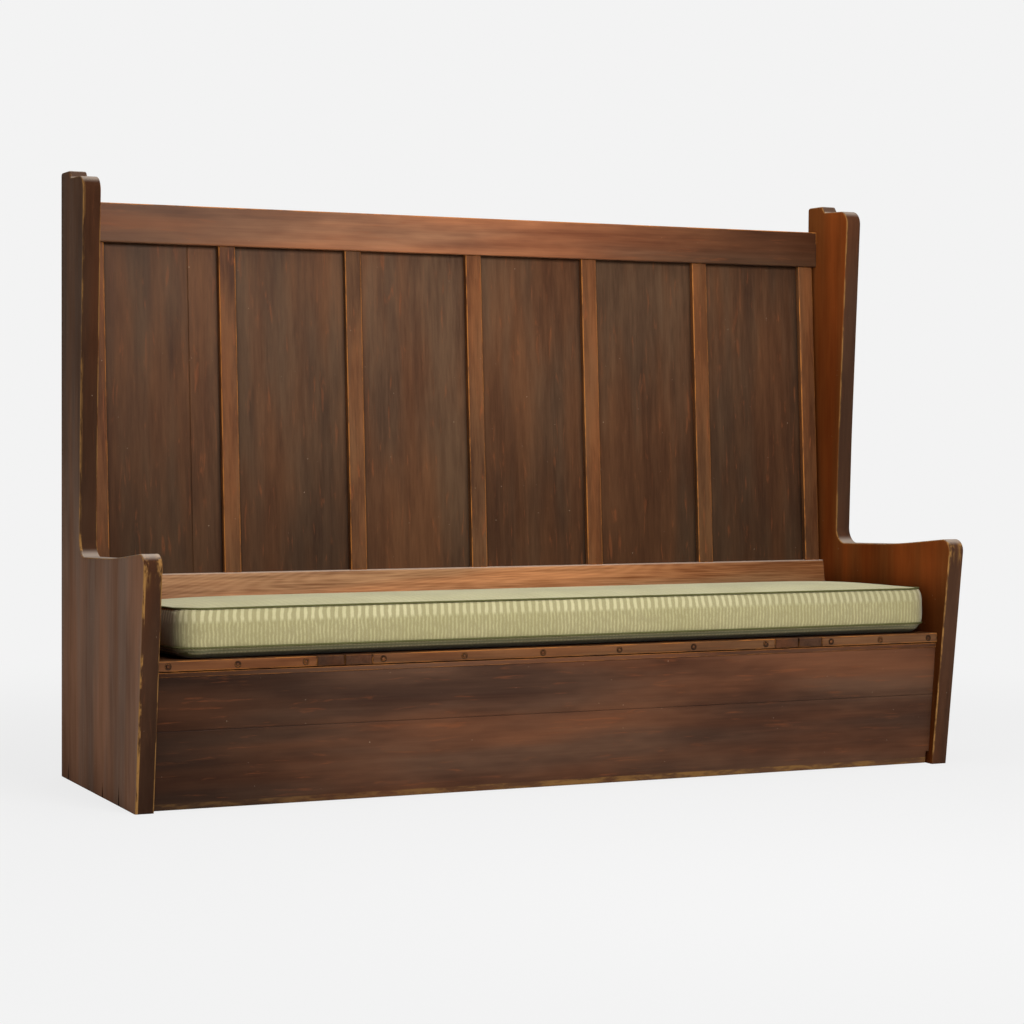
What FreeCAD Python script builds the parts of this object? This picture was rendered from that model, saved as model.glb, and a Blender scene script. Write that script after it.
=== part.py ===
import FreeCAD, Part
import math
import os

# High-backed settle bench with a box seat, in millimetres.
# Places in the side view are given as a distance forward of the upright back edge
# of the end panels and a height above the floor. X runs to the sitter's left hand
# as the bench is seen from the front, so it points right in that view.

# Overall size
OVERALL_WIDTH = 2056.0
OVERALL_HEIGHT = 1400.0
PANEL_THICKNESS = 42.0

# Outline of an end panel
FOOT_DEPTH = 606.0
ARM_DEPTH = 671.0
ARM_FRONT_HEIGHT = 557.0
ARM_DIP_DEPTH = 430.0
ARM_DIP_HEIGHT = 532.0
ARM_BACK_HEIGHT = 521.0
WING_LOW_DEPTH = 156.0
WING_WAIST_DEPTH = 164.0
WING_WAIST_HEIGHT = 800.0
WING_TOP_DEPTH = 193.0
WING_TOP_DROP = 20.0
CREST_DEPTH = 67.0
COVE_DEPTH = 80.0
COVE_DROP = 16.5
BACK_CORNER_RADIUS = 8.0
CREST_RADIUS = 6.0
COVE_RADIUS = 10.0
WING_CORNER_RADIUS = 34.0
WAIST_RADIUS = 6000.0
ARM_FILLET_RADIUS = 38.0
ARM_DIP_RADIUS = 2200.0
ARM_CORNER_RADIUS = 28.0
PANEL_ARRIS = 4.0

# Back: leaning boards with battens, between an upright top rail and a bevelled low rail
BACK_LEAN = 0.07
BATTEN_COUNT = 7
BATTEN_WIDTH = 41.0
BATTEN_THICKNESS = 14.0
BATTEN_SETBACK = 8.0
BATTEN_END_GAP = 8.0
BATTEN_ARRIS = 2.5
BACK_BOARD_THICKNESS = 12.0
BACK_BOARD_GAP = 0.6
BACK_BOARD_FLOOR_GAP = 12.0
FIRST_BOARD_WIDTH = 254.0
TOP_RAIL_FACE = 43.0
TOP_RAIL_THICKNESS = 36.0
TOP_RAIL_HEIGHT = 91.0
TOP_RAIL_DROP = 66.0
TOP_RAIL_REBATE = 25.0
TOP_RAIL_ARRIS = 3.0
LOW_RAIL_TOP = 473.0
LOW_RAIL_FACE = 96.0
LOW_RAIL_BEVEL = 0.18
LOW_RAIL_ARRIS = 7.0

# Seat
SEAT_EDGE_HEIGHT = 324.0
SEAT_EDGE_DEPTH = 620.0
SEAT_RAKE = math.radians(2.2)
SEAT_THICKNESS = 22.0
SEAT_ARRIS = 2.0
NOSING_DEPTH = 18.0
CLEAT_WIDTH = 64.0
LID_WIDTH = 1153.0
LID_OFFSET = 16.0
PARTING_GAP = 1.5
LID_BOARD_COUNT = 2
LID_BATTEN_WIDTH = 60.0
LID_BATTEN_THICKNESS = 20.0
LID_BATTEN_SPACING = 690.0
LID_BATTEN_SETBACK = 14.0
HINGE_LINE_DEPTH = 162.0

# Pegs of the nosing strips
PEG_RADIUS = 4.5
PEG_LENGTH = 32.0
PEG_PROUD = 0.6
PEG_INSET = 25.0
PEG_CLEARANCE = 0.05
PEG_COUNTS = {"left": 3, "lid": 6, "right": 3}

# Butt hinges
HINGE_COUNT = 2
HINGE_SPACING = 700.0
HINGE_LENGTH = 76.0
KNUCKLE_COUNT = 5
KNUCKLE_GAP = 0.3
BARREL_RADIUS = 3.5
BARREL_CLEARANCE = 0.3
PIN_RADIUS = 1.5
PIN_CLEARANCE = 0.05
PIN_AXIS_RISE = 0.5
LEAF_THICKNESS = 1.8
LEAF_HEIGHT = 18.0
LEAF_GAP = 0.5

# Seat box
FRONT_FACE_AT_FLOOR = 589.0
FRONT_LEAN = 0.088
FRONT_THICKNESS = 20.0
FRONT_FLOOR_GAP = 1.5
FRONT_JOINT_HEIGHT = 172.0
FRONT_JOINT_GAP = 0.6
FRONT_ARRIS = 3.0
STRIP_GAP = 2.5
STRIP_HEIGHT = 11.0
STRIP_PROUD = 1.0
CHIP_WIDTH = 9.0
CHIP_HEIGHT = 30.0
SEAT_BEARER_WIDTH = 25.0
SEAT_BEARER_HEIGHT = 45.0
CROSS_BEARER_WIDTH = 60.0
CROSS_BEARER_HEIGHT = 30.0
BOX_FLOOR_TOP = 75.0
BOX_FLOOR_THICKNESS = 15.0
FLOOR_BEARER_WIDTH = 25.0
FLOOR_BEARER_HEIGHT = 40.0

# Cushion, measured in the raked frame of the seat
CUSHION_FRONT_INSET = 8.0
CUSHION_DEPTH = 482.0
CUSHION_LEFT_GAP = 50.0
CUSHION_RIGHT_GAP = 13.0
CUSHION_SEAT_GAP = 0.3
CUSHION_LOW_SEAM = 17.0
CUSHION_HIGH_SEAM = 112.0
CUSHION_CROWN = 12.0
CUSHION_BULGE = 3.0
CUSHION_DRAW_IN = 4.0
CUSHION_CORNER_RADIUS = 55.0
CUSHION_FLAT_INSET = 75.0
CUSHION_CROWN_RUN = 160.0
CUSHION_END_RISE = 1.0
CUSHION_SHOULDER = 0.62

# Sections through the cushion's end, as shares of its corner radius and of its crown's run
CORNER_STEPS = (0.0, 0.02, 0.12, 0.35, 1.0)
CROWN_STEPS = (0.6, 1.0)

# Place of the arm's front corner in the list of the panel's corners, and limits of the maths
ARM_CORNER = 8
CUT_OVERRUN = 1.0
SAME_PLACE = 1e-6
FLAT = 0.01


def unit(a, b):
    """Direction from point a to point b in the side view."""
    run = b[0] - a[0]
    rise = b[1] - a[1]
    length = math.hypot(run, rise)
    return run / length, rise / length


def corner_arc(before, corner, after):
    """Start, middle, end and centre of the arc that rounds a corner (forward, height, radius)."""
    radius = corner[2]
    to_before = unit(corner, before)
    to_after = unit(corner, after)
    half = math.acos(to_before[0] * to_after[0] + to_before[1] * to_after[1]) / 2
    setback = radius / math.tan(half)
    inward = unit((0, 0), (to_before[0] + to_after[0], to_before[1] + to_after[1]))
    reach = radius / math.sin(half)
    start = (corner[0] + to_before[0] * setback, corner[1] + to_before[1] * setback)
    end = (corner[0] + to_after[0] * setback, corner[1] + to_after[1] * setback)
    centre = (corner[0] + inward[0] * reach, corner[1] + inward[1] * reach)
    middle = (centre[0] - inward[0] * radius, centre[1] - inward[1] * radius)
    return start, middle, end, centre


def panel_corners():
    """Corners of an end panel's outline as (forward, height, radius)."""
    top = OVERALL_HEIGHT
    return [
        (0, 0, 0),
        (0, top, BACK_CORNER_RADIUS),
        (CREST_DEPTH, top, CREST_RADIUS),
        (COVE_DEPTH, top - COVE_DROP, COVE_RADIUS),
        (WING_TOP_DEPTH, top - WING_TOP_DROP, WING_CORNER_RADIUS),
        (WING_WAIST_DEPTH, WING_WAIST_HEIGHT, WAIST_RADIUS),
        (WING_LOW_DEPTH, ARM_BACK_HEIGHT, ARM_FILLET_RADIUS),
        (ARM_DIP_DEPTH, ARM_DIP_HEIGHT, ARM_DIP_RADIUS),
        (ARM_DEPTH, ARM_FRONT_HEIGHT, ARM_CORNER_RADIUS),
        (FOOT_DEPTH, 0, 0),
    ]


def overall_depth():
    """Forward reach of the rounded arm corner, the foremost point of the bench."""
    around = panel_corners()[ARM_CORNER - 1:ARM_CORNER + 2]
    centre = corner_arc(*around)[3]
    return centre[0] + ARM_CORNER_RADIUS


# The origin stands on the floor midway between the back edge and the foremost point
BACK_Y = overall_depth() / 2
INNER_X = OVERALL_WIDTH / 2 - PANEL_THICKNESS


def place(x, forward, height):
    """Point of the model for a place in the side view."""
    return FreeCAD.Vector(x, BACK_Y - forward, height)


def outline(corners, x):
    """Closed wire at x through (forward, height, radius) corners, rounded by tangent arcs."""
    count = len(corners)
    arcs = []
    for i in range(count):
        corner = corners[i]
        if corner[2] > 0:
            arcs.append(corner_arc(corners[i - 1], corner, corners[(i + 1) % count])[:3])
        else:
            arcs.append((corner[:2], None, corner[:2]))
    edges = []
    for i in range(count):
        start, middle, end = arcs[i]
        following = arcs[(i + 1) % count][0]
        if middle:
            edges.append(Part.Arc(place(x, *start), place(x, *middle), place(x, *end)).toShape())
        if math.dist(end, following) > SAME_PLACE:
            edges.append(Part.LineSegment(place(x, *end), place(x, *following)).toShape())
    return Part.Wire(edges)


def prism(corners, low_x, high_x):
    """Solid with one outline in the side view, run along X."""
    full = [corner if len(corner) == 3 else (corner[0], corner[1], 0) for corner in corners]
    return Part.Face(outline(full, low_x)).extrude(FreeCAD.Vector(high_x - low_x, 0, 0))


def seat_point(behind, below):
    """Side-view point behind the seat's front edge and below its top, in the raked frame."""
    forward = SEAT_EDGE_DEPTH - behind * math.cos(SEAT_RAKE) + below * math.sin(SEAT_RAKE)
    height = SEAT_EDGE_HEIGHT - behind * math.sin(SEAT_RAKE) - below * math.cos(SEAT_RAKE)
    return forward, height


def seat_height(forward, below=0.0):
    """Height of the seat's top, or of a plane below it, at a place forward of the back."""
    run = (SEAT_EDGE_DEPTH - forward) * math.tan(SEAT_RAKE)
    return SEAT_EDGE_HEIGHT - run - below / math.cos(SEAT_RAKE)


def seat_prism(near, far, top, bottom, low_x, high_x, arris=0.0):
    """Board in the raked frame: near and far behind the front edge, top and bottom below its top."""
    corners = [
        (*seat_point(near, bottom), arris),
        (*seat_point(near, top), arris),
        (*seat_point(far, top), 0),
        (*seat_point(far, bottom), 0),
    ]
    return prism(corners, low_x, high_x)


def along_x(radius, low_x, high_x, behind, below):
    """Cylinder along X in the raked frame of the seat."""
    base = place(low_x, *seat_point(behind, below))
    return Part.makeCylinder(radius, high_x - low_x, base, FreeCAD.Vector(1, 0, 0))


def back_board_face(height):
    """Forward place of the back boards' front face."""
    face_at_rail = TOP_RAIL_FACE - BATTEN_SETBACK - BATTEN_THICKNESS
    return face_at_rail + BACK_LEAN * (TOP_RAIL_BOTTOM - height)


def front_board_face(height):
    """Forward place of the seat box's front face."""
    return FRONT_FACE_AT_FLOOR + FRONT_LEAN * height


def front_board_back(height):
    """Forward place of the front boards' inner face."""
    return front_board_face(height) - FRONT_THICKNESS * math.hypot(1, FRONT_LEAN)


def on_plane(face, below):
    """Point where a leaning flat face meets a plane below the seat's top."""
    slope = math.tan(SEAT_RAKE)
    lean = face(1) - face(0)
    height = (seat_height(0, below) + face(0) * slope) / (1 - lean * slope)
    return face(height), height


HINGE_BEHIND = (SEAT_EDGE_DEPTH - HINGE_LINE_DEPTH) / math.cos(SEAT_RAKE)
LID_LOW_X = LID_OFFSET - LID_WIDTH / 2
LID_HIGH_X = LID_OFFSET + LID_WIDTH / 2
TOP_RAIL_TOP = OVERALL_HEIGHT - TOP_RAIL_DROP
TOP_RAIL_BOTTOM = TOP_RAIL_TOP - TOP_RAIL_HEIGHT
STRIP_TOP_HEIGHT = SEAT_EDGE_HEIGHT - SEAT_THICKNESS - STRIP_GAP
STRIP_BOTTOM_HEIGHT = STRIP_TOP_HEIGHT - STRIP_HEIGHT

parts = {}


def end_panel(low_x):
    """Plank end: foot, arm and wing in one, with its long edges eased."""
    high_x = low_x + PANEL_THICKNESS
    panel = prism(panel_corners(), low_x, high_x)
    eased = []
    for edge in panel.Edges:
        box = edge.BoundBox
        if box.XLength < FLAT and box.ZMax > FLAT:
            eased.append(edge)
    return panel.makeFillet(PANEL_ARRIS, eased)


def top_rail():
    """Upright rail with a leaning rebate behind for the tops of the back boards."""
    rear = TOP_RAIL_FACE - TOP_RAIL_THICKNESS
    step = TOP_RAIL_BOTTOM + TOP_RAIL_REBATE
    corners = [
        (TOP_RAIL_FACE, TOP_RAIL_BOTTOM, TOP_RAIL_ARRIS),
        (TOP_RAIL_FACE, TOP_RAIL_TOP, TOP_RAIL_ARRIS),
        (rear, TOP_RAIL_TOP, TOP_RAIL_ARRIS),
        (rear, step, 0),
        (back_board_face(step), step, 0),
        (back_board_face(TOP_RAIL_BOTTOM), TOP_RAIL_BOTTOM, 0),
    ]
    return prism(corners, -INNER_X, INNER_X)


def low_rail_face(height):
    """Forward place of the low rail's bevelled face."""
    return LOW_RAIL_FACE + LOW_RAIL_BEVEL * (LOW_RAIL_TOP - height)


def low_rail():
    """Bevelled rail that stands on the rear seat board against the back boards."""
    corners = [
        (*on_plane(low_rail_face, 0), 0),
        (LOW_RAIL_FACE, LOW_RAIL_TOP, LOW_RAIL_ARRIS),
        (back_board_face(LOW_RAIL_TOP), LOW_RAIL_TOP, 0),
        (*on_plane(back_board_face, 0), 0),
    ]
    return prism(corners, -INNER_X, INNER_X)


def batten_centres():
    """Even places of the battens across the back."""
    outermost = INNER_X - BATTEN_END_GAP - BATTEN_WIDTH / 2
    pitch = 2 * outermost / (BATTEN_COUNT - 1)
    return [-outermost + i * pitch for i in range(BATTEN_COUNT)]


def batten(centre):
    """Upright batten with eased front arrises, leaning with the back."""
    rear = back_board_face(LOW_RAIL_TOP)
    face = rear + BATTEN_THICKNESS
    half = BATTEN_WIDTH / 2
    ease = BATTEN_ARRIS
    bend = ease * (1 - math.sqrt(0.5))

    def at(across, forward):
        return place(centre + across, forward, LOW_RAIL_TOP)

    edges = [
        Part.LineSegment(at(-half, rear), at(-half, face - ease)).toShape(),
        Part.Arc(at(-half, face - ease), at(-half + bend, face - bend), at(-half + ease, face)).toShape(),
        Part.LineSegment(at(-half + ease, face), at(half - ease, face)).toShape(),
        Part.Arc(at(half - ease, face), at(half - bend, face - bend), at(half, face - ease)).toShape(),
        Part.LineSegment(at(half, face - ease), at(half, rear)).toShape(),
        Part.LineSegment(at(half, rear), at(-half, rear)).toShape(),
    ]
    rise = TOP_RAIL_BOTTOM - LOW_RAIL_TOP
    return Part.Face(Part.Wire(edges)).extrude(FreeCAD.Vector(0, BACK_LEAN * rise, rise))


def back_board(low_x, high_x):
    """Leaning board from near the floor up into the top rail's rebate."""
    low = BACK_BOARD_FLOOR_GAP
    high = TOP_RAIL_BOTTOM + TOP_RAIL_REBATE - BACK_BOARD_GAP
    behind = BACK_BOARD_THICKNESS * math.hypot(1, BACK_LEAN)
    corners = [
        (back_board_face(low), low),
        (back_board_face(high), high),
        (back_board_face(high) - behind, high),
        (back_board_face(low) - behind, low),
    ]
    return prism(corners, low_x, high_x)


def build_back():
    parts["top_rail"] = top_rail()
    parts["low_rail"] = low_rail()
    centres = batten_centres()
    for i, centre in enumerate(centres):
        parts["batten_%d" % (i + 1)] = batten(centre)
    joints = [-INNER_X, -INNER_X + FIRST_BOARD_WIDTH] + centres[1:-1] + [INNER_X]
    for i in range(len(joints) - 1):
        low_x = joints[i] + (BACK_BOARD_GAP / 2 if i else 0)
        high_x = joints[i + 1] - (BACK_BOARD_GAP / 2 if i < len(joints) - 2 else 0)
        parts["back_board_%d" % (i + 1)] = back_board(low_x, high_x)


def peg_places(low_x, high_x, count):
    """Even places of the pegs along a nosing strip."""
    first = low_x + PEG_INSET
    pitch = (high_x - low_x - 2 * PEG_INSET) / (count - 1)
    return [first + i * pitch for i in range(count)]


def peg(x, radius, start, end):
    """Round peg driven back through the nosing into the seat, halfway up its edge."""
    front = place(x, *seat_point(start, SEAT_THICKNESS / 2))
    rear = place(x, *seat_point(end, SEAT_THICKNESS / 2))
    return Part.makeCylinder(radius, front.distanceToPoint(rear), front, rear - front)


def pegged_strip(name, low_x, high_x, board):
    """Nosing strip and its pegs; gives back the board with the peg holes in it."""
    strip = seat_prism(0, NOSING_DEPTH, 0, SEAT_THICKNESS, low_x, high_x, SEAT_ARRIS)
    pegs = []
    for x in peg_places(low_x, high_x, PEG_COUNTS[name]):
        pegs.append(peg(x, PEG_RADIUS, -PEG_PROUD, PEG_LENGTH))
        hole = peg(x, PEG_RADIUS + PEG_CLEARANCE, -CUT_OVERRUN, PEG_LENGTH + PEG_CLEARANCE)
        strip = strip.cut(hole)
        board = board.cut(hole)
    parts["nosing_" + name] = strip
    parts["nosing_pegs_" + name] = Part.makeCompound(pegs)
    return board


def cleat(low_x):
    """Cleat across the end of a seat board, its end grain showing in the front edge."""
    high_x = low_x + CLEAT_WIDTH
    far = HINGE_BEHIND - PARTING_GAP / 2
    return seat_prism(0, far, 0, SEAT_THICKNESS, low_x, high_x, SEAT_ARRIS)


def hinge_places():
    """Centres of the hinges along the lid."""
    first = LID_OFFSET - HINGE_SPACING * (HINGE_COUNT - 1) / 2
    return [first + i * HINGE_SPACING for i in range(HINGE_COUNT)]


def leaf_plate(centre, side):
    """Plain plate of one leaf; side is 1 behind the pin and -1 in front of it."""
    near = HINGE_BEHIND + side * LEAF_GAP / 2
    far = near + side * LEAF_THICKNESS
    low_x = centre - HINGE_LENGTH / 2
    return seat_prism(min(near, far), max(near, far), 0, LEAF_HEIGHT, low_x, low_x + HINGE_LENGTH)


def hinge_leaf(centre, side):
    """Leaf with its share of the knuckles, bored for the pin."""
    leaf = leaf_plate(centre, side)
    low_x = centre - HINGE_LENGTH / 2
    step = HINGE_LENGTH / KNUCKLE_COUNT
    for i in range(KNUCKLE_COUNT):
        start = low_x + i * step
        if (i % 2 == 0) == (side == 1):
            barrel = along_x(BARREL_RADIUS, start + KNUCKLE_GAP / 2, start + step - KNUCKLE_GAP / 2,
                             HINGE_BEHIND, -PIN_AXIS_RISE)
            leaf = leaf.fuse(barrel)
        else:
            room = along_x(BARREL_RADIUS + BARREL_CLEARANCE, start - KNUCKLE_GAP / 2,
                           start + step + KNUCKLE_GAP / 2, HINGE_BEHIND, -PIN_AXIS_RISE)
            leaf = leaf.cut(room)
    bore = along_x(PIN_RADIUS + PIN_CLEARANCE, low_x - CUT_OVERRUN, low_x + HINGE_LENGTH + CUT_OVERRUN,
                   HINGE_BEHIND, -PIN_AXIS_RISE)
    return leaf.cut(bore).removeSplitter()


def hinge_pin(centre):
    """Pin as long as the hinge."""
    low_x = centre - HINGE_LENGTH / 2
    return along_x(PIN_RADIUS, low_x, low_x + HINGE_LENGTH, HINGE_BEHIND, -PIN_AXIS_RISE)


def let_in_hinges(board, side):
    """Cut the mortises for the leaves and the room for the barrels into a board's edge."""
    for centre in hinge_places():
        low_x = centre - HINGE_LENGTH / 2
        barrel = along_x(BARREL_RADIUS + BARREL_CLEARANCE, low_x - BARREL_CLEARANCE,
                         low_x + HINGE_LENGTH + BARREL_CLEARANCE, HINGE_BEHIND, -PIN_AXIS_RISE)
        board = board.cut(leaf_plate(centre, side)).cut(barrel)
    return board


def build_hinges():
    centres = hinge_places()
    parts["hinge_leaves_fixed"] = Part.makeCompound([hinge_leaf(x, 1) for x in centres])
    parts["hinge_leaves_moving"] = Part.makeCompound([hinge_leaf(x, -1) for x in centres])
    parts["hinge_pins"] = Part.makeCompound([hinge_pin(x) for x in centres])


def build_fixed_seat():
    far = HINGE_BEHIND - PARTING_GAP / 2
    left_cleat = LID_LOW_X - PARTING_GAP / 2 - CLEAT_WIDTH
    right_cleat = LID_HIGH_X + PARTING_GAP / 2
    parts["seat_cleat_left"] = cleat(left_cleat)
    parts["seat_cleat_right"] = cleat(right_cleat)
    spans = {"left": (-INNER_X, left_cleat), "right": (right_cleat + CLEAT_WIDTH, INNER_X)}
    for name, (low_x, high_x) in spans.items():
        board = seat_prism(NOSING_DEPTH, far, 0, SEAT_THICKNESS, low_x, high_x)
        parts["seat_board_" + name] = pegged_strip(name, low_x, high_x, board)
    near = HINGE_BEHIND + PARTING_GAP / 2
    corners = [
        seat_point(near, SEAT_THICKNESS),
        seat_point(near, 0),
        on_plane(back_board_face, 0),
        on_plane(back_board_face, SEAT_THICKNESS),
    ]
    parts["seat_rear_board"] = let_in_hinges(prism(corners, -INNER_X, INNER_X), 1)


def build_lid():
    low_x = LID_LOW_X + PARTING_GAP / 2
    high_x = LID_HIGH_X - PARTING_GAP / 2
    parts["lid_cleat_left"] = cleat(low_x)
    parts["lid_cleat_right"] = cleat(high_x - CLEAT_WIDTH)
    low_x += CLEAT_WIDTH
    high_x -= CLEAT_WIDTH
    far = HINGE_BEHIND - PARTING_GAP / 2
    width = (far - NOSING_DEPTH) / LID_BOARD_COUNT
    boards = []
    for i in range(LID_BOARD_COUNT):
        near = NOSING_DEPTH + i * width
        boards.append(seat_prism(near, near + width, 0, SEAT_THICKNESS, low_x, high_x))
    boards[0] = pegged_strip("lid", low_x, high_x, boards[0])
    boards[-1] = let_in_hinges(boards[-1], -1)
    parts["lid_board_front"] = boards[0]
    parts["lid_board_rear"] = boards[-1]
    near = front_bearer_behind() + LID_BATTEN_SETBACK
    for name, side in (("left", -1), ("right", 1)):
        centre = LID_OFFSET + side * LID_BATTEN_SPACING / 2
        parts["lid_batten_" + name] = seat_prism(
            near, far - LID_BATTEN_SETBACK, SEAT_THICKNESS, SEAT_THICKNESS + LID_BATTEN_THICKNESS,
            centre - LID_BATTEN_WIDTH / 2, centre + LID_BATTEN_WIDTH / 2)


def front_bearer_behind():
    """Distance of the front bearer's rear face behind the seat's front edge."""
    return SEAT_EDGE_DEPTH - front_board_back(STRIP_BOTTOM_HEIGHT) + SEAT_BEARER_WIDTH


def leaning_bar(face, width, low, high, low_x, high_x, slope_top=False):
    """Bar along X whose one side lies on a leaning face; a negative width runs forward."""
    top = on_plane(face, SEAT_THICKNESS) if slope_top else (face(high), high)
    far = top[0] - width
    far_top = seat_height(far, SEAT_THICKNESS) if slope_top else high
    return prism([(face(low), low), top, (far, far_top), (far, low)], low_x, high_x)


def build_seat_bearers():
    front_low = SEAT_EDGE_HEIGHT - SEAT_THICKNESS - SEAT_BEARER_HEIGHT
    back_low = on_plane(back_board_face, SEAT_THICKNESS)[1] - SEAT_BEARER_HEIGHT
    parts["front_bearer"] = leaning_bar(front_board_back, SEAT_BEARER_WIDTH, front_low, 0,
                                        -INNER_X, INNER_X, True)
    parts["back_bearer"] = leaning_bar(back_board_face, -SEAT_BEARER_WIDTH, back_low, 0,
                                       -INNER_X, INNER_X, True)
    front = on_plane(front_board_back, SEAT_THICKNESS)[0] - SEAT_BEARER_WIDTH
    rear = on_plane(back_board_face, SEAT_THICKNESS)[0] + SEAT_BEARER_WIDTH
    top = SEAT_THICKNESS
    bottom = SEAT_THICKNESS + CROSS_BEARER_HEIGHT
    corners = [
        (front, seat_height(front, bottom)),
        (front, seat_height(front, top)),
        (rear, seat_height(rear, top)),
        (rear, seat_height(rear, bottom)),
    ]
    half = CROSS_BEARER_WIDTH / 2
    parts["cross_bearer_left"] = prism(corners, LID_LOW_X - half, LID_LOW_X + half)
    parts["cross_bearer_right"] = prism(corners, LID_HIGH_X - half, LID_HIGH_X + half)
    parts["end_bearer_left"] = prism(corners, -INNER_X, -INNER_X + SEAT_BEARER_WIDTH)
    parts["end_bearer_right"] = prism(corners, INNER_X - SEAT_BEARER_WIDTH, INNER_X)


def front_board(low, high, proud=0.0, arris=0.0):
    """Leaning board of the seat box's front."""
    corners = [
        (front_board_back(low), low, 0),
        (front_board_face(low) + proud, low, arris),
        (front_board_face(high) + proud, high, 0),
        (front_board_back(high), high, 0),
    ]
    return prism(corners, -INNER_X, INNER_X)


def build_box():
    lower = front_board(FRONT_FLOOR_GAP, FRONT_JOINT_HEIGHT, 0, FRONT_ARRIS)
    chip = prism([(0, 0), (ARM_DEPTH, 0), (ARM_DEPTH, CHIP_HEIGHT), (0, CHIP_HEIGHT)],
                 INNER_X - CHIP_WIDTH, INNER_X)
    parts["front_board_lower"] = lower.cut(chip)
    parts["front_board_upper"] = front_board(FRONT_JOINT_HEIGHT + FRONT_JOINT_GAP, STRIP_BOTTOM_HEIGHT)
    parts["front_top_strip"] = front_board(STRIP_BOTTOM_HEIGHT, STRIP_TOP_HEIGHT, STRIP_PROUD)
    floor_low = BOX_FLOOR_TOP - BOX_FLOOR_THICKNESS
    bearer_low = floor_low - FLOOR_BEARER_HEIGHT
    parts["floor_bearer_front"] = leaning_bar(front_board_back, FLOOR_BEARER_WIDTH, bearer_low,
                                              floor_low, -INNER_X, INNER_X)
    parts["floor_bearer_back"] = leaning_bar(back_board_face, -FLOOR_BEARER_WIDTH, bearer_low,
                                             floor_low, -INNER_X, INNER_X)
    middle = (front_board_back(floor_low) + back_board_face(floor_low)) / 2
    top = BOX_FLOOR_TOP
    front_edge = [(front_board_back(floor_low), floor_low), (front_board_back(top), top)]
    rear_edge = [(back_board_face(top), top), (back_board_face(floor_low), floor_low)]
    joint = [(middle, top), (middle, floor_low)]
    parts["box_floor_front"] = prism(front_edge + joint, -INNER_X, INNER_X)
    parts["box_floor_rear"] = prism(rear_edge + joint[::-1], -INNER_X, INNER_X)


def cushion_section(x, inset, low_centre, crown):
    """Closed section of the cushion at x: boxed front and back, crowned top, flat or raised base."""
    front = CUSHION_FRONT_INSET + inset
    rear = CUSHION_FRONT_INSET + CUSHION_DEPTH - inset
    middle = (front + rear) / 2
    low = CUSHION_LOW_SEAM
    high = CUSHION_HIGH_SEAM
    half = (low + high) / 2
    flat_front = CUSHION_FRONT_INSET + CUSHION_FLAT_INSET
    flat_rear = CUSHION_FRONT_INSET + CUSHION_DEPTH - CUSHION_FLAT_INSET
    drop = low - low_centre

    def at(behind, above):
        return place(x, *seat_point(behind, -above))

    def between(start, via, end):
        return Part.Arc(at(*start), at(*via), at(*end)).toShape()

    shoulder = low - drop * CUSHION_SHOULDER
    return Part.Wire([
        between((front, low), (front - CUSHION_BULGE, half), (front, high)),
        between((front, high), (middle, high + crown), (rear, high)),
        between((rear, high), (rear + CUSHION_BULGE, half), (rear, low)),
        between((rear, low), ((rear + flat_rear) / 2, shoulder), (flat_rear, low_centre)),
        Part.LineSegment(at(flat_rear, low_centre), at(flat_front, low_centre)).toShape(),
        between((flat_front, low_centre), ((front + flat_front) / 2, shoulder), (front, low)),
    ])


def end_section(step):
    """Inset, base height and crown of the cushion's section at a step in from its end."""
    turn = max(0.0, 1 - step / CUSHION_CORNER_RADIUS)
    corner = CUSHION_CORNER_RADIUS * (1 - math.sqrt(1 - turn * turn))
    share = min(1.0, step / CUSHION_CROWN_RUN)
    drawn = CUSHION_DRAW_IN * (1 - math.cos(math.pi * share)) / 2
    rise = math.sin(math.pi / 2 * share)
    raised = CUSHION_LOW_SEAM - CUSHION_END_RISE - CUSHION_SEAT_GAP
    base = CUSHION_SEAT_GAP + raised * (1 - rise) ** 2
    return corner + drawn, base, CUSHION_END_RISE + (CUSHION_CROWN - CUSHION_END_RISE) * rise


def cushion():
    """Crowned box cushion with rounded corners and sides drawn in along their length."""
    low_x = -INNER_X + CUSHION_LEFT_GAP
    high_x = INNER_X - CUSHION_RIGHT_GAP
    steps = [share * CUSHION_CORNER_RADIUS for share in CORNER_STEPS]
    steps += [share * CUSHION_CROWN_RUN for share in CROWN_STEPS]
    steps.append((high_x - low_x) / 2)
    left = [cushion_section(low_x + step, *end_section(step)) for step in steps]
    right = [cushion_section(high_x - step, *end_section(step)) for step in steps[-2::-1]]
    return Part.makeLoft(left + right, True, True)


def save(name, shape):
    solids = shape.Solids
    if not shape.isValid() or not solids:
        raise ValueError("bad shape: " + name)
    kept = solids[0] if len(solids) == 1 else Part.makeCompound(solids)
    kept.exportStep("parts/" + name + ".step")


os.makedirs("parts", exist_ok=True)
parts["end_panel_left"] = end_panel(-OVERALL_WIDTH / 2)
parts["end_panel_right"] = end_panel(INNER_X)
build_back()
build_fixed_seat()
build_lid()
build_hinges()
build_seat_bearers()
build_box()
parts["cushion"] = cushion()
for name, shape in parts.items():
    save(name, shape)
hinge_axis = place(LID_OFFSET, *seat_point(HINGE_BEHIND, -PIN_AXIS_RISE))
print("nodes", len(parts), "depth", round(overall_depth(), 3), "inner half width", INNER_X)
print("lid hinge axis through", [round(value, 4) for value in hinge_axis])
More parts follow.
